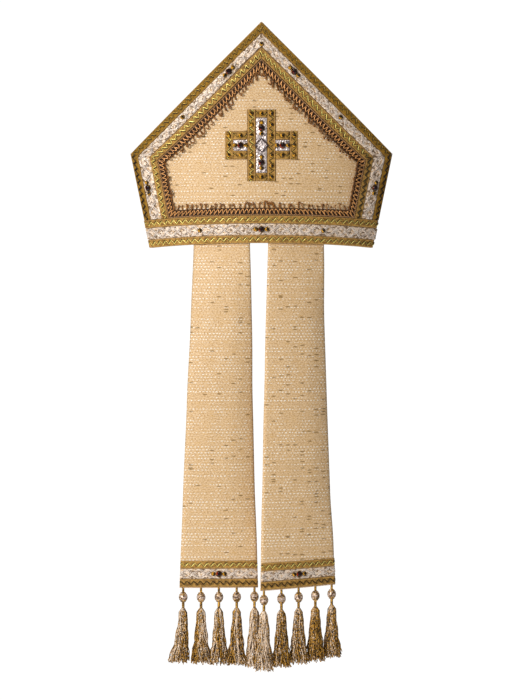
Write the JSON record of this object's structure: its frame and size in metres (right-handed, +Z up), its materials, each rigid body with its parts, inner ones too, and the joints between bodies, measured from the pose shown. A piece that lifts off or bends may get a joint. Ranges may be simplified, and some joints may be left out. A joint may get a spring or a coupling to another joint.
{
  "type": "bishop mitre",
  "caption": "Stiff peaked ceremonial hat in cream-gold brocade with braid borders, a braided cross, set stones and tasselled lappets.",
  "frame": {"origin": "middle of the head opening, level with the ends of the rim at the side seams", "axes": "+Z up through the peaks, +Y towards the wearer's front, -Y towards the back face that carries the cross and the lappets, +X to the right seen from that back face"},
  "size_m": [0.3304, 0.1158, 0.8028],
  "materials": {
    "brocade": "cream-gold slubbed brocade with fine horizontal rows",
    "lining": "plain cream-gold cloth of the gusset",
    "gold_braid": "old-gold braid with a pale metallic zigzag",
    "silver_ribbon": "silver lattice ribbon on a beige ground",
    "gimp_cord": "copper-brown looped gimp",
    "tassel_thread": "mixed gold and silver-pink threads",
    "silver_thread": "silver wire setting",
    "garnet": "dark red polished faceted stone",
    "amber": "gold-brown polished stone"
  },
  "bodies": {
    "root": {"back_panel": "brocade", "back_outer_braid": "gold_braid", "back_silver_band": "silver_ribbon", "back_inner_braid": "gold_braid", "back_gimp": "gimp_cord", "front_panel": "brocade", "front_outer_braid": "gold_braid", "front_silver_band": "silver_ribbon", "front_inner_braid": "gold_braid", "front_gimp": "gimp_cord", "crown_gusset": "lining", "rim_lower_braid": "gold_braid", "rim_silver_band": "silver_ribbon", "rim_upper_braid": "gold_braid", "cross_braid": "gold_braid", "cross_silver_upright": "silver_ribbon", "cross_silver_left": "silver_ribbon", "cross_silver_right": "silver_ribbon", "cross_diamond": "silver_thread", "stone_cross_top": "garnet", "stone_cross_bottom": "garnet", "stone_cross_left": "garnet", "stone_cross_right": "garnet", "stone_side_left": "garnet", "stone_side_right": "garnet", "stone_slant_low_left": "amber", "stone_slant_low_right": "amber", "stone_slant_high_left": "garnet", "stone_slant_high_right": "garnet", "stone_peak": "amber", "stone_rim_left": "amber", "stone_rim_middle": "garnet", "stone_rim_right": "amber", "stone_lappet_left": "garnet", "stone_lappet_right": "garnet", "lappet_left": "brocade", "lappet_left_lower_braid": "gold_braid", "lappet_left_silver_band": "silver_ribbon", "lappet_left_upper_braid": "gold_braid", "tassel_left_1": "tassel_thread", "tassel_left_2": "tassel_thread", "tassel_left_3": "tassel_thread", "tassel_left_4": "tassel_thread", "tassel_left_5": "tassel_thread", "lappet_right": "brocade", "lappet_right_lower_braid": "gold_braid", "lappet_right_silver_band": "silver_ribbon", "lappet_right_upper_braid": "gold_braid", "tassel_right_1": "tassel_thread", "tassel_right_2": "tassel_thread", "tassel_right_3": "tassel_thread", "tassel_right_4": "tassel_thread", "tassel_right_5": "tassel_thread"}
  },
  "joints": []
}
